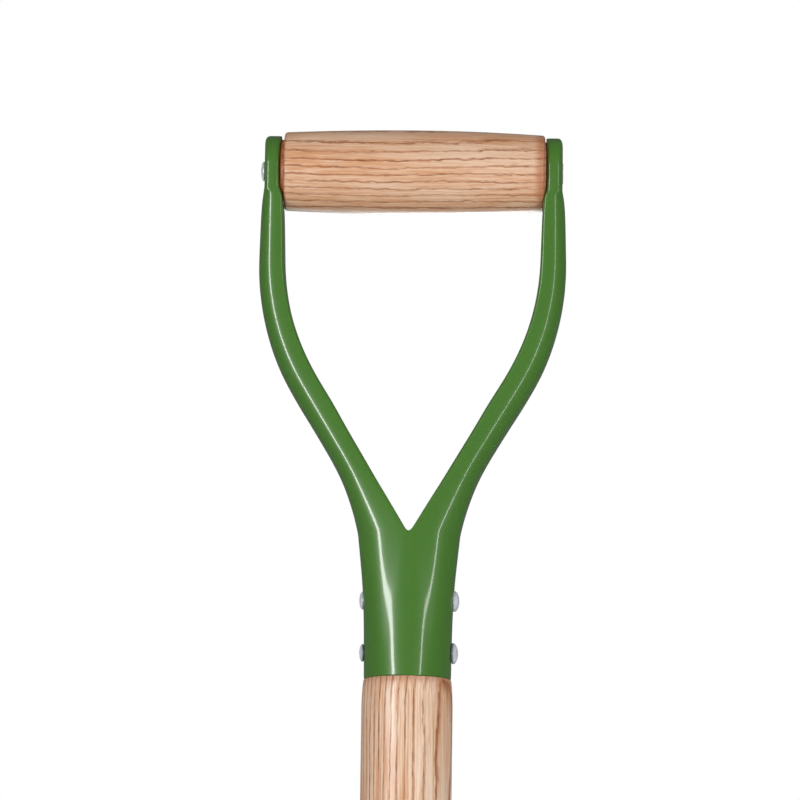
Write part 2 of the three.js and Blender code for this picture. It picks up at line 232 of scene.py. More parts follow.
def yoke_mesh():
    """The yoke as level rings of vertices: the tube from its mouth up, then each arm to its ear."""
    mesh = bmesh.new()
    side_steps = 13
    outer_angles = [CORNER * (i / side_steps - 1) for i in range(2 * side_steps + 1)]
    outer_angles.insert(-1, CORNER - SEAM_STEP)
    inner_angles = [CORNER + SEAM_STEP] + [math.radians(150 + 12 * i) for i in range(6)]
    seam = len(outer_angles) - 1

    def vertex(point, sideways=1):
        """A vertex from a point of the right half, or of the left half with sideways -1."""
        return mesh.verts.new(GRIP_CENTRE + Vector((sideways * point.x, point.y, point.z)) * MM)

    def half_rows(height, inset=0):
        """The tube's right and left rows at a height, both from front centre to back centre."""
        points = [tube_point(angle, height) for angle in outer_angles]
        points[seam].y -= SEAM_DEPTH
        for p in points:
            shrink = 1 - inset / Vector((p.x, p.y)).length
            p.x, p.y = p.x * shrink, p.y * shrink
        right = [vertex(p) for p in points]
        left = right[:1] + [vertex(p, -1) for p in points[1:-1]] + right[-1:]
        return right, left

    # The wall's inner face down to the sheet's edge at the mouth, and the outside up to the crotch.
    inside = [(YOKE_RIM + 46, WALL), (YOKE_RIM + 20, WALL), (YOKE_RIM + 0.5, WALL)]
    mouth_edge = [(YOKE_RIM, WALL - 0.4), (YOKE_RIM, 0.3), (YOKE_RIM + 0.3, 0)]
    outside = [(YOKE_RIM + 3 + 4 * i, 0) for i in range(13)]
    outside += [(CROTCH - drop, 0) for drop in (5.5, 2.5, 0)]
    rows = [half_rows(height, inset) for height, inset in inside + mouth_edge + outside]
    for (right_low, left_low), (right_high, left_high) in zip(rows, rows[1:]):
        bridge(mesh, right_low, right_high)
        bridge(mesh, left_high, left_low)
    right, left = rows[0]
    mesh.faces.new((right + left[-2:0:-1])[::-1])
    skin = [v for right, left in rows[-len(outside):] for v in right + left]

    # The arms. Their inner sides meet at the crotch in one row of shared vertices.
    saddle = [vertex(Vector((0, arm_point(angle, CROTCH).y, CROTCH))) for angle in inner_angles]
    heights = [CROTCH + rise for rise in (1.4, 3.6, 6.5, 10)]
    heights += [CROTCH + 14 + 4 * i for i in range(31)]
    heights += [-17.5, -15, -13, -11.8, -10.9, -10, -9.1, -8.2, -7, -4, -1]
    heights += [EAR_CENTRE + EAR_RADIUS * math.sin(math.radians(turn))
                for turn in (0, 14, 28, 40, 51, 61, 69, 76, 83)]
    for sideways, below in ((1, rows[-1][0] + saddle), (-1, rows[-1][1] + saddle)):
        for height in heights:
            points = [arm_point(angle, height) for angle in outer_angles + inner_angles]
            if height < SEAM_TOP:
                points[seam] += SEAM_FOLD * SEAM_DEPTH
            ring = [vertex(p, sideways) for p in points]
            low_high = (below, ring) if sideways > 0 else (ring, below)
            bridge_rings(mesh, *low_high)
            skin += ring[:len(outer_angles)]
            below = ring
        mesh.faces.new(below if sideways > 0 else below[::-1])

    def weight(v):
        """How strongly a vertex is faired: most round the crotch, and not at all far from it."""
        rise = (v.co.z - GRIP_Z) / MM - CROTCH
        return 0.5 * ease(-50, -20, rise) * ease(30, 12, rise)

    fair_depth(skin, FAIRING, weight)
    return mesh


def piece(name, mesh):
    """The mesh as an object."""
    data = bpy.data.meshes.new(name)
    mesh.to_mesh(data)
    mesh.free()
    made = bpy.data.objects.new(name, data)
    bpy.context.scene.collection.objects.link(made)
    return made


def settle(made):
    """Works an object's modifiers into its mesh."""
    shaped = made.evaluated_get(bpy.context.evaluated_depsgraph_get())
    data = bpy.data.meshes.new_from_object(shaped)
    made.modifiers.clear()
    made.data = data


def subdivide(made, rounds):
    """Smooths an object's mesh by rounds of subdivision."""
    subsurf = made.modifiers.new("rounds", "SUBSURF")
    subsurf.levels = subsurf.render_levels = rounds
    settle(made)


def cut_away(made, cutter):
    """Cuts the closed mesh cutter out of made, and removes the cutter."""
    boolean = made.modifiers.new("cut", "BOOLEAN")
    boolean.operation = "DIFFERENCE"
    boolean.solver = "EXACT"
    boolean.object = cutter
    settle(made)
    bpy.data.objects.remove(cutter)


def turned(profile, sides, axis, place):
    """A mesh turned about X, Y or Z through place, from (radius, distance) points in millimetres.

    The profile starts and ends on the axis, with the distance rising where the outside faces out.
    """
    mesh = bmesh.new()
    turn = {"X": lambda r, a, d: (d, r * math.cos(a), r * math.sin(a)),
            "Y": lambda r, a, d: (r * math.sin(a), d, r * math.cos(a)),
            "Z": lambda r, a, d: (r * math.cos(a), r * math.sin(a), d)}[axis]
    rings = []
    for radius, distance in profile:
        count = sides if radius else 1
        spots = [turn(radius, 2 * math.pi * i / sides, distance) for i in range(count)]
        rings.append([mesh.verts.new(place + Vector(spot) * MM) for spot in spots])
    for low, high in zip(rings, rings[1:]):
        if len(low) == 1:
            low = low * sides
        if len(high) == 1:
            high = high * sides
        for i in range(sides):
            j = (i + 1) % sides
            corners = dict.fromkeys((low[i], low[j], high[j], high[i]))
            mesh.faces.new(corners)
    return mesh


class Wire:
    """A value that varies over a surface. Arithmetic on it adds the Math nodes."""

    def __init__(self, finish, socket):
        self.finish = finish
        self.socket = socket

    def math(self, operation, *terms):
        """The result of one Math node."""
        return self.finish.add("ShaderNodeMath", {"operation": operation}, dict(enumerate(terms)))

    def __add__(self, other):
        return self.math("ADD", self, other)

    def __sub__(self, other):
        return self.math("SUBTRACT", self, other)

    def __rsub__(self, other):
        return self.math("SUBTRACT", other, self)

    def __mul__(self, other):
        return self.math("MULTIPLY", self, other)

    def __truediv__(self, other):
        return self.math("DIVIDE", self, other)

    __radd__ = __add__
    __rmul__ = __mul__

    def part(self):
        """What is left over after whole numbers."""
        return self.math("FRACT", self)

    def size(self):
        """The value without its sign."""
        return self.math("ABSOLUTE", self)

    def ramp(self, low, high):
        """0 up to low, 1 from high, and smooth between."""
        return self.finish.add("ShaderNodeMapRange", {"interpolation_type": "SMOOTHSTEP"},
                               {"Value": self, "From Min": low, "From Max": high})


class Nodes:
    """The nodes of a material or a world, made one at a time by add."""

    def __init__(self, owner):
        owner.use_nodes = True
        self.tree = owner.node_tree
        self.tree.nodes.clear()

    def add(self, kind, settings=None, inputs=None, output=0):
        """A node, with its settings set before its sockets, as the wire of one of its outputs."""
        node = self.tree.nodes.new(kind)
        for name, value in (settings or {}).items():
            setattr(node, name, value)
        for name, value in (inputs or {}).items():
            if isinstance(value, Wire):
                self.tree.links.new(value.socket, node.inputs[name])
            else:
                node.inputs[name].default_value = value
        return Wire(self, node.outputs[output]) if node.outputs else None


class Finish(Nodes):
    """A material and its nodes."""

    def __init__(self, name):
        self.material = bpy.data.materials.new(name)
        super().__init__(self.material)

    def place(self):
        """Where a point lies on the spade, in millimetres, as one vector."""
        spot = self.add("ShaderNodeTexCoord", output="Object")
        return self.add("ShaderNodeVectorMath", {"operation": "SCALE"}, {"Vector": spot, "Scale": 1 / MM})

    def noise(self, spot, grain, detail=2, roughness=0.5, shift=(0, 0, 0)):
        """Noise between 0 and 1 whose grains are about grain (x, y, z) millimetres in size."""
        scaled = self.add("ShaderNodeVectorMath", {"operation": "MULTIPLY_ADD"},
                          {0: spot, 1: tuple(1 / g for g in grain), 2: shift})
        return self.add("ShaderNodeTexNoise", {"noise_dimensions": "3D"},
                        {"Vector": scaled, "Scale": 1, "Detail": detail, "Roughness": roughness})

    def mix(self, amount, low, high):
        """A colour between two colours."""
        return self.add("ShaderNodeMix", {"data_type": "RGBA"}, {0: amount, 6: low, 7: high}, output=2)

    def bump(self, height, strength, distance):
        """A normal that follows a relief of the given depth, in millimetres."""
        return self.add("ShaderNodeBump", inputs={"Height": height, "Strength": strength,
                                                  "Distance": distance * MM})

    def surface(self, **sockets):
        """Finishes the material with one principled surface."""
        named = {name.replace("_", " "): value for name, value in sockets.items()}
        shader = self.add("ShaderNodeBsdfPrincipled", inputs=named)
        self.add("ShaderNodeOutputMaterial", inputs={"Surface": shader})
        return self.material


def colour(red, green, blue):
    """A colour given as it looks on a screen, from 0 to 255, as the linear one that shaders use."""
    parts = [c / 255 for c in (red, green, blue)]
    return tuple(p / 12.92 if p < 0.04045 else ((p + 0.055) / 1.055) ** 2.4 for p in parts) + (1,)


ENAMEL = colour(65, 112, 35)
ENAMEL_THIN = colour(80, 127, 52)
ENAMEL_DEEP = colour(60, 106, 32)
GLOSS, GLOSS_ROUGHNESS, GLOSS_IOR = 0.9, 0.09, 1.5


def enamel_look(finish, spot):
    """The enamel's colour, roughness and normal: an even dip coat with a faint orange peel."""
    clouds = finish.noise(spot, (60, 60, 90), detail=2)
    specks = finish.noise(spot, (0.7, 0.7, 0.7), detail=1, shift=(7, 3, 5))
    edge = finish.add("ShaderNodeNewGeometry", output="Pointiness")
    tint = finish.mix(clouds.ramp(0.3, 0.7) * 0.5, ENAMEL, ENAMEL_DEEP)
    tint = finish.mix(edge.ramp(0.56, 0.68) * 0.6, tint, ENAMEL_THIN)
    tint = finish.mix(specks.ramp(0.74, 0.82) * 0.25, tint, ENAMEL_THIN)
    handled = finish.noise(spot, (9, 9, 22), detail=3, shift=(1, 8, 2))
    peel = finish.noise(spot, (2.6, 2.6, 2.6), detail=1)
    runs = finish.noise(spot, (9, 9, 60), detail=1, shift=(4, 4, 4))
    normal = finish.bump(peel + runs * 3, strength=0.12, distance=0.05)
    return tint, 0.3 + handled * 0.12, normal


def enamel():
    """The green enamel of every painted piece but the blade, under its own hard gloss."""
    finish = Finish("green_enamel")
    tint, roughness, normal = enamel_look(finish, finish.place())
    return finish.surface(Base_Color=tint, Roughness=roughness, Normal=normal,
                          Coat_Weight=GLOSS, Coat_Roughness=GLOSS_ROUGHNESS, Coat_IOR=GLOSS_IOR)


def finished(made, material, slot, *nodes, sharp=35):
    """Gives a piece its material, smooth shading and place in the frame; hides the CAD parts it replaces.
    """
    made.data.materials.clear()
    made.data.materials.append(material)
    made.data.shade_smooth()
    made.data.set_sharp_from_angle(angle=math.radians(sharp))
    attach(made, "root")
    if nodes:
        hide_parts(*nodes)
    return made


green = enamel()
yoke = piece("yoke_pressing", yoke_mesh())
subdivide(yoke, 2)

# The long rivet's hole through the right ear is countersunk from outside.
HOLE, SINK_MOUTH, SINK_DEPTH = 3.3, 5.2, 1.9
ear_face = ARM_TOP_X + EAR_HALF
ear_inside = ear_face - 2 * EAR_HALF
sink = [(0, ear_inside), (HOLE, ear_inside), (HOLE, ear_face - SINK_DEPTH)]
sink += [(SINK_MOUTH, ear_face + 0.1), (0, ear_face + 0.4)]
cut_away(yoke, piece("countersink", turned(sink, 64, "X", GRIP_CENTRE)))
finished(yoke, green, "green_paint", "handle_yoke")


# --- The grip ------------------------------------------------------------------------------------
# A barrel of ash turned between centres, fullest in the middle, with a short neck at each end that
# seats against the ear. It is drilled end to end for the long rivet, then sanded and varnished.

# Sizes in millimetres: the two ends differ a little in how full they are and how long their necks.
SEATING = 0.25  # how much further than the CAD body it reaches, so that its ends meet the ears
GRIP_HALF = (grip_high.x - grip_low.x) / 2 / MM + SEATING
GRIP_MIDDLE = (grip_high.z - grip_low.z) / 2 / MM
LEFT_END, LEFT_NECK = GRIP_MIDDLE - 1.2, 1.4
RIGHT_END, RIGHT_NECK = GRIP_MIDDLE - 1.7, 0.6
NECK, SHOULDER_ROUND = 13.4, 1.4
BORE, BORE_DEPTH, BORE_EDGE = 3.3, 6, 0.4


def grip_half(end, neck_length):
    """Half of the grip's outline, from its bore's floor out over the end and in to the middle."""
    shoulder = GRIP_HALF - neck_length
    run = shoulder - SHOULDER_ROUND
    half = [(0, GRIP_HALF - BORE_DEPTH), (BORE, GRIP_HALF - BORE_DEPTH)]
    half += [(BORE, GRIP_HALF - BORE_EDGE), (BORE + BORE_EDGE, GRIP_HALF)]
    half += [(NECK - 0.5, GRIP_HALF), (NECK, GRIP_HALF - 0.5), (NECK, shoulder)]
    half += [(end - SHOULDER_ROUND, shoulder)]
    round_steps, run_steps = 6, 24
    for step in range(1, round_steps + 1):
        turn = math.pi / 2 * step / round_steps
        radius = end - SHOULDER_ROUND * (1 - math.sin(turn))
        half.append((radius, run + SHOULDER_ROUND * math.cos(turn)))
    for step in range(run_steps - 1, 0, -1):
        along = step / run_steps
        half.append((end + (GRIP_MIDDLE - end) * (1 - along**2), run * along))
    return half


def grip_profile():
    """The grip's whole outline. The right end's neck is all but hidden, and the left end is fuller."""
    left = [(radius, -distance) for radius, distance in grip_half(LEFT_END, LEFT_NECK)]
    return left + [(GRIP_MIDDLE, 0)] + grip_half(RIGHT_END, RIGHT_NECK)[::-1]


ASH_LIGHT = colour(222, 196, 172)
ASH = colour(198, 144, 104)
ASH_RING = colour(152, 90, 48)
ASH_PORE = colour(112, 62, 32)
# The colour the ends are drawn towards: stain, and on the grip's right end painted shade as well.
ASH_END = colour(158, 84, 42)


def ash(name, along, pith, ring_width, sway, jitter, pale, darkened):
    """Varnished ash, whose year rings lie round a pith line that runs with the grain.

    The grain runs along x or z, and pith is a point of that line. Rings are ring_width apart, sway
    slowly by sway and roughly by jitter, and pale says how much light wood shows between them.
    darkened gives how far the wood is drawn towards ASH_END at each point, from 0 to 1.
    """
    finish = Finish(name)
    spot = finish.place()

    def grain(length, across):
        """A noise size that is length along the grain and across over it."""
        return (length, across, across) if along == "x" else (across, across, length)

    def wander(length, across, shift):
        """A slow drift either side of nothing, by which the rings leave their true circles."""
        return finish.noise(spot, grain(length, across), detail=1, shift=shift) - 0.5

    keep = (0, 1, 1) if along == "x" else (1, 1, 0)
    off_pith = finish.add("ShaderNodeVectorMath", {"operation": "MULTIPLY_ADD"},
                          {0: spot, 1: keep, 2: tuple(-p for p in pith)})
    distance = finish.add("ShaderNodeVectorMath", {"operation": "LENGTH"}, {0: off_pith},
                          output="Value")
    wavy = distance + wander(130, 30, (3, 1, 4)) * sway + wander(24, 7, (5, 9, 2)) * 1.5
    wavy = wavy + wander(4.5, 2, (6, 5, 3)) * jitter
    through_ring = (wavy / ring_width).part()
    early = through_ring.ramp(0, 0.12) * (1 - through_ring.ramp(0.12, 0.42))
    strength = finish.noise(spot, grain(160, 5), detail=1, shift=(8, 2, 6)).ramp(0.32, 0.62)
    broken = finish.noise(spot, grain(14, 0.8), detail=2, shift=(2, 7, 1)).ramp(0.3, 0.62)
    fibre = finish.noise(spot, grain(30, 0.7), detail=4, roughness=0.65, shift=(1, 1, 9))
    flecks = finish.noise(spot, grain(5, 0.34), detail=2, shift=(4, 6, 8)).ramp(0.52, 0.66)
    band = early * (0.55 + 0.45 * strength) * (0.5 + 0.5 * broken)
    pores = flecks * (0.14 + 0.86 * early)
    streaks = finish.noise(spot, grain(70, 9), detail=1)
    tone = (fibre * 1.3 + streaks * 0.6).ramp(0.7, 1.2)
    tint = finish.mix(tone * pale, ASH, ASH_LIGHT)
    tint = finish.mix(band, tint, ASH_RING)
    tint = finish.mix(pores * 0.8, tint, ASH_PORE)
    # The ends drawn towards ASH_END: stain, painted shade at the grip's right end, and the shaft's dark
    # band by the steel.
    tint = finish.mix(darkened(finish, spot), tint, ASH_END)
    relief = 0 - band - pores * 1.4 + fibre * 0.35
    normal = finish.bump(relief, strength=0.16, distance=0.12)
    return finish.surface(Base_Color=tint, Roughness=0.42 + band * 0.12 + pores * 0.2, Normal=normal,
                          Coat_Weight=0.35, Coat_Roughness=0.22)


def grip_ends(finish, spot):
    """Stained end grain: a thin dark line at the left, and at the right a broader band, partly painted
    shade.
    """
    x = finish.add("ShaderNodeSeparateXYZ", inputs={0: spot})
    ragged = x + (finish.noise(spot, (5, 1.6, 1.6), detail=2) - 0.5) * 3.2
    left = 1 - ragged.ramp(-GRIP_HALF + 0.6, -GRIP_HALF + 2.6)
    # The broader band at the right end is partly painted shade.
    right = ragged.ramp(GRIP_HALF - 5.6, GRIP_HALF - 2.2) * 0.6
    return left + right


grip_pith = (0, AXIS_Y / MM + 46, GRIP_Z / MM - 150)
grip_wood = ash("ash_grip", "x", grip_pith, ring_width=3.0, sway=3.2, jitter=1.4, pale=0.7,
                darkened=grip_ends)
grip = piece("grip_barrel", turned(grip_profile(), 160, "X", GRIP_CENTRE))
finished(grip, grip_wood, "ash_wood", "grip", sharp=50)


# --- The rivets ----------------------------------------------------------------------------------
# Soft steel rivets, zinc plated. Two hold the yoke to the shaft, two hold the blade's socket, and a
# long one clamps the grip between the ears. Each has a dome head as bought. The other end is
# hammered into a lower dome, or spread flush into the countersink on the long one.

# Radii and rises in millimetres.
SHANK, HEAD, HEAD_RISE, FORMED, FORMED_RISE = 2.5, 4.5, 2.6, 3.75, 1.8
GRIP_SHANK, GRIP_HEAD, GRIP_HEAD_RISE, FLARE, FLARE_DEPTH = 3, 4.1, 1.5, 4.9, 1.6
RIVET_SIDES = 56


def dome(radius, rise, base, steps=12):
    """A low dome on base with a small rounded foot, from its rim up to the axis."""
    foot = 0.35
    points = [(radius - 0.25, base), (radius, base + foot * 0.5)]
    for step in range(steps + 1):
        turn = math.pi / 2 * step / steps
        points.append((radius * math.cos(turn), base + foot + (rise - foot) * math.sin(turn)))
    points[-1] = (0, base + rise)
    return points


def flipped(points):
    """A profile turned end for end."""
    return [(radius, -distance) for radius, distance in points][::-1]


ZINC_BRIGHT, ZINC_DULL = colour(244, 248, 252), colour(212, 220, 230)
# The colour of the painted shade round each head's foot.
FOOT_SHADE = colour(52, 58, 66)


def zinc(name, axis, foot):
    """Zinc plate, with painted shade where a head meets the steel at foot, in mm from the middle."""
    finish = Finish(name)
    spot = finish.place()
    level = finish.add("ShaderNodeSeparateXYZ", inputs={0: spot}, output=axis)
    middle = AXIS_Y / MM if axis == "Y" else 0
    # Painted shade: the zinc is drawn dark just above the tube, as a contact shadow at the head's foot.
    foot_shade = 1 - (level - middle).size().ramp(foot, foot + 0.9)
    crystals = finish.noise(spot, (1.4, 1.4, 1.4), detail=2)
    dull = finish.noise(spot, (3.5, 3.5, 3.5), detail=3, shift=(2, 5, 1))
    tint = finish.mix(dull.ramp(0.35, 0.7), ZINC_BRIGHT, ZINC_DULL)
    tint = finish.mix(foot_shade * 0.85, tint, FOOT_SHADE)
    normal = finish.bump(crystals, strength=0.25, distance=0.08)
    return finish.surface(Base_Color=tint, Metallic=0.4, Roughness=0.26 + dull * 0.2, Normal=normal)


def rivet(node, axis, tube_radius, made_side, plating):
    """A rivet through a tube, along axis, with its larger, made head towards made_side, 1 or -1.

    The heads are drawn down onto the tube, so their rims follow its curve.
    """
    low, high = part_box(node)
    centre = (low + high) / 2
    reach = "XY".index(axis)
    centre[reach] = 0 if axis == "X" else AXIS_Y
    profile = flipped(dome(FORMED, FORMED_RISE, tube_radius)) + dome(HEAD, HEAD_RISE, tube_radius)
    half = len(profile) // 2
    profile[half:half] = [(SHANK, profile[half - 1][1]), (SHANK, profile[half][1])]
    if made_side < 0:
        profile = flipped(profile)
    mesh = turned(profile, RIVET_SIDES, axis, centre)
    for vertex in mesh.verts:
        off = vertex.co - centre
        across = off[1 - reach]
        if Vector((across, off.z)).length > (SHANK + 0.1) * MM:
            vertex.co[reach] -= math.copysign(across**2 / (2 * tube_radius * MM), off[reach])
    finished(piece(node + "_pin", mesh), plating, "zinc_steel", node, sharp=40)


yoke_zinc = zinc("zinc_plate_yoke_rivets", "X", foot=18.6)
socket_zinc = zinc("zinc_plate_socket_rivets", "Y", foot=19.2)
rivet("yoke_rivet_upper", "X", tube_radius=18.75, made_side=1, plating=yoke_zinc)
rivet("yoke_rivet_lower", "X", tube_radius=18.5, made_side=1, plating=yoke_zinc)
rivet("socket_rivet_upper", "Y", tube_radius=20.3, made_side=-1, plating=socket_zinc)
rivet("socket_rivet_lower", "Y", tube_radius=18.9, made_side=-1, plating=socket_zinc)

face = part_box("grip_rivet")[1].x / MM
profile = flipped(dome(GRIP_HEAD, GRIP_HEAD_RISE, face))
profile += [(GRIP_SHANK, -face), (GRIP_SHANK, face - FLARE_DEPTH)]
profile += [(FLARE - 0.3, face - 0.15), (FLARE - 0.6, face), (0, face)]
grip_pin = piece("grip_rivet_pin", turned(profile, RIVET_SIDES, "X", GRIP_CENTRE))
grip_zinc = zinc("zinc_plate_grip_rivet", "X", foot=face - 0.6)
finished(grip_pin, grip_zinc, "zinc_steel", "grip_rivet", sharp=40)


# --- The shaft -----------------------------------------------------------------------------------
# Straight ash, turned to 38 mm and reduced at each end to a tapered tenon that is driven into the
# steel. The grain runs the whole length, and it has the same varnish as the grip.

SHAFT = (shaft_high.x - shaft_low.x) / 2 / MM
SHAFT_FOOT, SHAFT_TOP = shaft_low.z / MM, shaft_high.z / MM
LOWER_TENON, LOWER_TENON_TIP = 18, 11.5
UPPER_TENON, UPPER_TENON_TIP = 16.1, 13.2

# The shoulders, a hair clear of the socket's mouth and of the yoke's rim.
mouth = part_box("blade")[1].z / MM + 0.3
rim = yoke_low.z / MM - 0.05
shaft_profile = [(0, SHAFT_FOOT), (LOWER_TENON_TIP - 0.5, SHAFT_FOOT), (LOWER_TENON_TIP, SHAFT_FOOT + 0.6)]
shaft_profile += [(LOWER_TENON, mouth), (SHAFT - 1, mouth), (SHAFT - 0.3, mouth + 0.4)]
shaft_profile += [(SHAFT, mouth + 1.4)]
shaft_profile += [(SHAFT, mouth + 1.4 + (rim - 13 - mouth) * i / 12) for i in range(1, 13)]
shaft_profile += [(SHAFT - 0.15, rim - 7), (SHAFT - 0.4, rim - 3), (SHAFT - 0.75, rim - 0.3)]
shaft_profile += [(SHAFT - 1, rim), (UPPER_TENON, rim), (UPPER_TENON_TIP, SHAFT_TOP - 0.5)]
shaft_profile += [(UPPER_TENON_TIP - 0.5, SHAFT_TOP), (0, SHAFT_TOP)]


def shaft_ends(finish, spot):
    """The wood drawn darker for a few millimetres where it goes into the steel, at the rim and the mouth.
    """
    height = finish.add("ShaderNodeSeparateXYZ", inputs={0: spot}, output="Z")
    ragged = height + (finish.noise(spot, (1.6, 1.6, 6), detail=3, shift=(3, 3, 8)) - 0.5) * 7
    return (ragged.ramp(rim - 6, rim + 1) + 1 - ragged.ramp(mouth - 1, mouth + 6)) * 0.45


shaft_pith = (-70, AXIS_Y / MM + 40, 0)
shaft_wood = ash("ash_shaft", "z", shaft_pith, ring_width=2.6, sway=3, jitter=0.5, pale=1.0,
                 darkened=shaft_ends)
shaft = piece("shaft_pole", turned(shaft_profile, 144, "Z", Vector((0, AXIS_Y, 0))))
finished(shaft, shaft_wood, "ash_wood", "shaft", sharp=50)


# --- The blade and its socket --------------------------------------------------------------------
# Forged from one piece of steel: a dished, slightly tapering plate whose middle swells into a rib
# and then closes round the shaft as a tapered socket. Dipped in the enamel, and its cutting edge is
# ground bare on both faces.

# In millimetres, with heights measured up from the cutting edge.
BLADE_TOP = 290
SOCKET_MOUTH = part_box("blade")[1].z / MM
PLATE, EDGE = 2.2, 1.1
EDGE_BEVEL = 14
DISH = 7
TOP_HALF, EDGE_HALF = 94.4, 82.4
EDGE_CORNER, SHOULDER_CORNER = 14, 9
RIB_FOOT = 130
rib_half_width = through((RIB_FOOT, 9), (150, 9), (200, 13), (250, 19), (BLADE_TOP, 24), (305, 21.6),
                         (340, 20), (SOCKET_MOUTH, 21))
rib_half_depth = through((RIB_FOOT, 1.1), (150, 1.25), (200, 2.6), (250, 5.8), (BLADE_TOP, 10.5),
                         (312, 14.3), (340, 17), (SOCKET_MOUTH, 21))
rib_power = through((RIB_FOOT, 1.6), (230, 1.6), (BLADE_TOP, 0.95), (325, 0.5), (SOCKET_MOUTH, 0.5))
side_gap = through((BLADE_TOP, 1), (320, 0.15), (SOCKET_MOUTH, 0.02))


def half_width(height):
    """The plate's half width, with its rounded lower and upper corners."""
    half = EDGE_HALF + (TOP_HALF - EDGE_HALF) * height / BLADE_TOP
    low, high = EDGE_CORNER - height, height - (BLADE_TOP - SHOULDER_CORNER)
    if low > 0:
        half -= EDGE_CORNER - math.sqrt(max(0, EDGE_CORNER**2 - low**2))
    if high > 0:
        half -= SHOULDER_CORNER - math.sqrt(max(0, SHOULDER_CORNER**2 - high**2))
    return half


def blade_point(x, height, face, rib):
    """A point of the front (face -1) or back (face 1), with rib 0 at the rib's side and 1 inside."""
    lean = AXIS_Y / MM * min(1, height / BLADE_TOP)
    span = EDGE_HALF + (TOP_HALF - EDGE_HALF) * height / BLADE_TOP
    dish = DISH * (x / span) ** 2 if height <= BLADE_TOP else 0
    thick = EDGE + (PLATE - EDGE) * min(1, height / EDGE_BEVEL)
    if height > BLADE_TOP:
        thick *= side_gap(height)
        dish = DISH * (rib_half_width(BLADE_TOP) / span) ** 2 * side_gap(height)
    across = min(1, abs(x) / rib_half_width(height))
    swell = (rib_half_depth(height) - thick / 2) * (1 - across**2) ** rib_power(height) * rib
    return Vector((x, lean - dish + face * (thick / 2 + swell), height)) * MM


def blade_mesh():
    """The plate as a front and a back skin of level rows, then the socket as rings above the rib."""
    mesh = bmesh.new()
    wing_steps, rib_steps = 14, 20
    heights = [EDGE_CORNER * (1 - math.cos(math.pi / 2 * i / 8)) for i in range(9)]
    heights += [EDGE_CORNER + 10 * i for i in range(1, 27)]
    heights += [BLADE_TOP - SHOULDER_CORNER * (1 - math.sin(math.pi / 2 * i / 6)) for i in range(7)]

    def row(height, face):
        """One row of the front or back, from the left edge over the rib to the right edge."""
        rib_half = rib_half_width(height)
        wing = half_width(height)
        side = [(-wing + (wing - rib_half) * i / wing_steps, 0) for i in range(wing_steps)]
        middle = [(-rib_half * math.cos(math.pi * i / rib_steps), 1) for i in range(rib_steps + 1)]
        spots = side + middle + [(-x, 0) for x, rib in side[::-1]]
        return [mesh.verts.new(blade_point(x, height, face, rib)) for x, rib in spots]

    fronts = [row(height, -1) for height in heights]
    backs = [row(height, 1) for height in heights]
    for low, high in zip(fronts, fronts[1:]):
        bridge(mesh, low, high)
    for low, high in zip(backs, backs[1:]):
        bridge(mesh, high, low)
    bridge(mesh, backs[0], fronts[0])
    for low, high, back_low, back_high in zip(fronts, fronts[1:], backs, backs[1:]):
        mesh.faces.new((back_low[0], low[0], high[0], back_high[0]))
        mesh.faces.new((low[-1], back_low[-1], back_high[-1], high[-1]))
    left, right = wing_steps, wing_steps + rib_steps
    bridge(mesh, fronts[-1][:left + 1], backs[-1][:left + 1])
    bridge(mesh, fronts[-1][right:], backs[-1][right:])

    # The socket goes on upwards from the rib's outline, turns in at its mouth and goes down again.
    ring = fronts[-1][left:right + 1] + backs[-1][left:right + 1][::-1]

    def socket_ring(height, inset=0):
        """The socket's outline at a height, drawn in by inset for the wall's inner face."""
        half = rib_half_width(height)
        scale = 1 - inset / half
        xs = [-half * math.cos(math.pi * i / rib_steps) for i in range(rib_steps + 1)]
        spots = [blade_point(x, height, -1, 1) for x in xs]
        spots += [blade_point(x, height, 1, 1) for x in xs[::-1]]
        return [mesh.verts.new((spot.x * scale, AXIS_Y + (spot.y - AXIS_Y) * scale, spot.z))
                for spot in spots]

    levels = [(BLADE_TOP + rise, 0) for rise in (3, 7, 12, 18, 25, 34, 44)]
    neck = levels[-1][0]
    levels += [(neck + (SOCKET_MOUTH - 1 - neck) * i / 10, 0) for i in range(1, 11)]
    levels += [(SOCKET_MOUTH - 0.3, 0.12), (SOCKET_MOUTH, 0.5), (SOCKET_MOUTH, 2.2)]
    levels += [(SOCKET_MOUTH - 0.6, 2.7), (SOCKET_MOUTH - 30, 3.9)]
    for height, inset in levels:
        higher = socket_ring(height, inset)
        bridge_rings(mesh, ring, higher)
        ring = higher
    mesh.faces.new(ring)
    bmesh.ops.recalc_face_normals(mesh, faces=mesh.faces)
    return mesh


STEEL_DARK, STEEL_LIGHT = colour(150, 152, 155), colour(198, 200, 203)
BARE_TO = 12  # how high the bare steel reaches, before the ragged edge of the paint is added


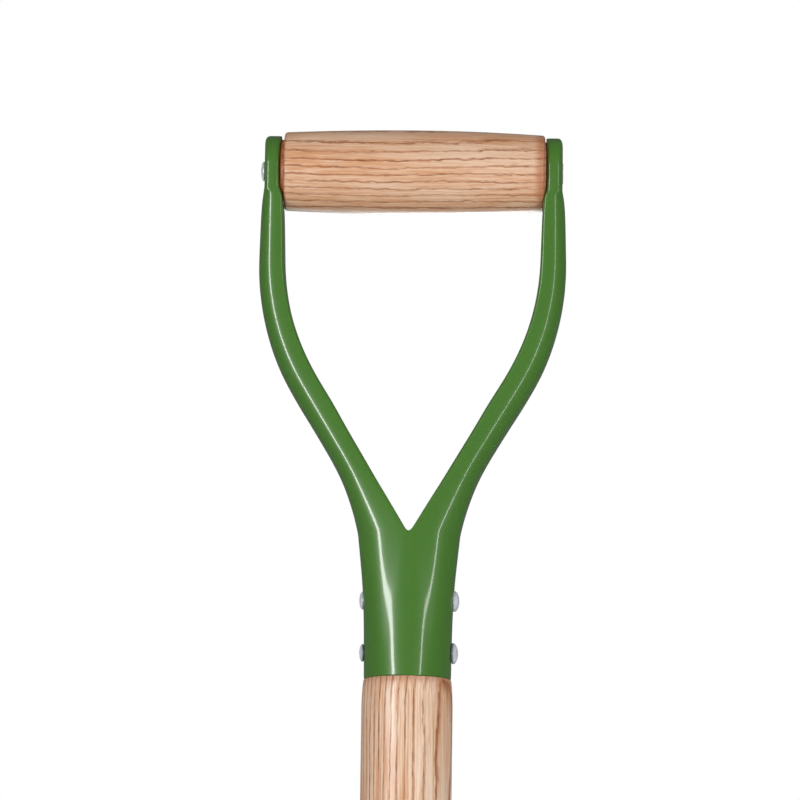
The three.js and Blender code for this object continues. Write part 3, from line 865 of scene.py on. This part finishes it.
def blade_enamel():
    """The enamel, with bare ground steel along the cutting edge up to the paint's ragged edge."""
    finish = Finish("green_enamel_ground_edge")
    spot = finish.place()
    tint, roughness, normal = enamel_look(finish, spot)
    height = finish.add("ShaderNodeSeparateXYZ", inputs={0: spot}, output="Z")
    waves = finish.noise(spot, (9, 9, 4), detail=3) - 0.5
    chips = finish.noise(spot, (1.3, 1.3, 2), detail=2) - 0.5
    ragged = height + waves * 3 + chips * 1.6
    bare = 1 - ragged.ramp(BARE_TO - 0.6, BARE_TO)
    marks = finish.noise(spot, (0.35, 0.35, 40), detail=3, roughness=0.7)
    steel = finish.mix(marks.ramp(0.3, 0.7), STEEL_DARK, STEEL_LIGHT)
    ground = finish.bump(marks, strength=0.25, distance=0.06)
    either = finish.add("ShaderNodeMix", {"data_type": "VECTOR"}, {0: bare, 4: normal, 5: ground},
                        output=1)
    return finish.surface(Base_Color=finish.mix(bare, tint, steel), Metallic=bare * 0.6,
                          Roughness=roughness + bare * (0.02 + marks * 0.2), Normal=either,
                          Coat_Weight=GLOSS - bare * GLOSS, Coat_Roughness=GLOSS_ROUGHNESS,
                          Coat_IOR=GLOSS_IOR)


def rounded_edges(made, width, angle):
    """Rounds every edge of a piece that is sharper than the angle."""
    rounding = made.modifiers.new("rounding", "BEVEL")
    rounding.limit_method = "ANGLE"
    rounding.angle_limit = math.radians(angle)
    rounding.width = width * MM
    rounding.segments = 3
    rounding.use_clamp_overlap = True
    settle(made)


blade = piece("blade_forging", blade_mesh())
rounded_edges(blade, width=0.35, angle=60)
subdivide(blade, 1)
finished(blade, blade_enamel(), "green_paint", "blade", sharp=40)


# --- The treads ----------------------------------------------------------------------------------
# Two flat steel bars on the blade's shoulders for the foot. Each overhangs behind, is welded along
# its back with one run of weld, and is painted with the blade.

TREAD_CORNER = 3
WELD_START, WELD_END = 29, 84  # in millimetres from the spade's middle
WELD_RADIUS, WELD_RIPPLE = 1.5, 0.1


def bar_mesh(low, high, round_corner):
    """A bar between two corners, with rounded corners seen from above."""
    mesh = bmesh.new()
    outline = []
    for centre_x, centre_y, start in ((high.x, high.y, 0), (low.x, high.y, 90), (low.x, low.y, 180),
                                      (high.x, low.y, 270)):
        inward = Vector((round_corner if centre_x == low.x else -round_corner,
                         round_corner if centre_y == low.y else -round_corner))
        for step in range(7):
            turn = math.radians(start + 15 * step)
            outline.append((centre_x + inward.x + round_corner * math.cos(turn),
                            centre_y + inward.y + round_corner * math.sin(turn)))
    rings = [[mesh.verts.new((x, y, z)) for x, y in outline] for z in (low.z, high.z)]
    bridge_rings(mesh, *rings)
    mesh.faces.new(rings[0][::-1])
    mesh.faces.new(rings[1])
    return mesh


def weld_mesh(start, end, radius, ripple):
    """A run of weld from start to end along x: a rounded bead whose ripples lie close together."""
    mesh = bmesh.new()
    ring_gap = 0.8
    sides, steps = 12, int(abs(end.x - start.x) / MM / ring_gap)
    rings = []
    for step in range(steps + 1):
        along = step / steps
        end_round = math.sqrt(max(0.02, 1 - abs(2 * along - 1) ** 14))
        size = radius * end_round * (1 + ripple * math.sin(along * steps * 1.3))
        middle = start.lerp(end, along)
        turns = [2 * math.pi * i / sides for i in range(sides)]
        rings.append([mesh.verts.new(middle + Vector((0, size * math.cos(t), size * math.sin(t))) * MM)
                      for t in turns])
    for low, high in zip(rings, rings[1:]):
        bridge_rings(mesh, low, high)
    mesh.faces.new(rings[0][::-1])
    mesh.faces.new(rings[-1])
    bmesh.ops.recalc_face_normals(mesh, faces=mesh.faces)
    return mesh


for node in ("tread_left", "tread_right"):
    low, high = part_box(node)
    tread = piece(node + "_bar", bar_mesh(low, high, TREAD_CORNER * MM))
    rounded_edges(tread, width=0.7, angle=60)
    finished(tread, green, "green_paint", node, sharp=40)
    side = 1 if node == "tread_right" else -1
    ends = []
    for x in (WELD_START, WELD_END):
        seat = blade_point(side * x, BLADE_TOP - 0.4, 1, 0)
        ends.append(Vector((seat.x, seat.y + 0.3 * MM, seat.z)))
    bead = piece(node + "_weld", weld_mesh(*ends, WELD_RADIUS, WELD_RIPPLE))
    subdivide(bead, 1)
    finished(bead, green, "green_paint")


# --- The floor, the lights and the camera ------------------------------------------------------
# A pale matt floor in a white room. Tall narrow strip lights draw the long highlights down the
# enamel, and large soft boxes farther off light everything evenly without showing in the gloss.
# The camera has a long lens and looks a little up at the handle.

floor_mesh = bmesh.new()
bmesh.ops.create_circle(floor_mesh, cap_ends=True, segments=96, radius=12)
floor = piece("studio_floor", floor_mesh)
floor.visible_glossy = False
paper = Finish("pale_floor")
speckle = paper.noise(paper.place(), (40, 40, 40), detail=3)
pale = paper.mix(speckle, colour(238, 238, 236), colour(246, 246, 245))
floor.data.materials.append(paper.surface(Base_Color=pale, Roughness=0.8))
floor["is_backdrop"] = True

# The room is white to the camera, and dimmer to the surfaces it lights, above all in their gloss.
scene = bpy.context.scene
scene.view_settings.view_transform = "Standard"
scene.world = bpy.data.worlds.new("studio")
room = Nodes(scene.world)
WHITE = (1, 1, 1, 1)
seen = room.add("ShaderNodeBackground", inputs={"Color": WHITE})
lit = room.add("ShaderNodeBackground", inputs={"Color": WHITE, "Strength": 0.33})
in_gloss = room.add("ShaderNodeBackground", inputs={"Strength": 0.14})
glossy_ray = room.add("ShaderNodeLightPath", output="Is Glossy Ray")
camera_ray = room.add("ShaderNodeLightPath", output="Is Camera Ray")
around = room.add("ShaderNodeMixShader", inputs={0: glossy_ray, 1: lit, 2: in_gloss})
everything = room.add("ShaderNodeMixShader", inputs={0: camera_ray, 1: around, 2: seen})
room.add("ShaderNodeOutputWorld", inputs={"Surface": everything})

HANDLE_MIDDLE = GRIP_Z - 0.1
STRIP_DISTANCE, BOX_DISTANCE = 1.6, 4.5


def lamp(name, turn, distance, height, wide, tall, watts, aim):
    """A rectangular light, turned that many degrees round the spade from the front.

    It points at the shaft's axis at the height aim. All lengths are in metres.
    """
    light = bpy.data.lights.new(name, "AREA")
    light.shape = "RECTANGLE"
    light.size, light.size_y = wide, tall
    light.energy = watts
    made = bpy.data.objects.new(name, light)
    angle = math.radians(turn)
    made.location = (math.sin(angle) * distance, AXIS_Y - math.cos(angle) * distance, height)
    toward = Vector((0, AXIS_Y, aim)) - made.location
    made.rotation_euler = toward.to_track_quat("-Z", "Y").to_euler()
    made.visible_camera = False
    scene.collection.objects.link(made)
    return made


def strip(name, turn, height, wide, tall, watts):
    """A narrow upright light that shows only as a highlight."""
    lamp(name, turn, STRIP_DISTANCE, height, wide, tall, watts, height).visible_diffuse = False


def softbox(name, turn, height, side, watts):
    """A large square light aimed at the handle, which doesn't show as a highlight."""
    lamp(name, turn, BOX_DISTANCE, height, side, side, watts, HANDLE_MIDDLE).visible_glossy = False


strip("strip_left", -36, height=0.82, wide=0.2, tall=1.1, watts=10.5)
strip("strip_glow", -36, height=0.82, wide=0.42, tall=1.2, watts=1.6)
strip("strip_right", 34, height=0.82, wide=0.09, tall=1.1, watts=3)
for turn in (-38, 38):
    softbox("soft_front", turn, height=1.22, side=2.4, watts=105)
for turn in (-163, 163):
    softbox("soft_back", turn, height=1.5, side=2.7, watts=84)
strip("strip_back", 180, height=0.42, wide=0.12, tall=0.7, watts=4)

YAW, DROP, ROLL = math.radians(1.5), math.radians(8), math.radians(0.75)
VIEW_SIDE = 0.336  # the width in metres that the square picture takes in at the handle
DISTANCE = 3.8
SENSOR = 36
lens = bpy.data.cameras.new("camera")
lens.sensor_width = SENSOR
lens.lens = SENSOR * DISTANCE / VIEW_SIDE
camera = bpy.data.objects.new("camera", lens)
target = Vector((-0.0046, AXIS_Y, GRIP_Z - 0.0968))
back = Vector((math.sin(YAW) * math.cos(DROP), -math.cos(YAW) * math.cos(DROP), -math.sin(DROP)))
camera.location = target + back * DISTANCE
camera.rotation_euler = (-back).to_track_quat("-Z", "Y").to_euler()
camera.rotation_euler.rotate_axis("Z", ROLL)
scene.collection.objects.link(camera)
scene.camera = camera

low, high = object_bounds()
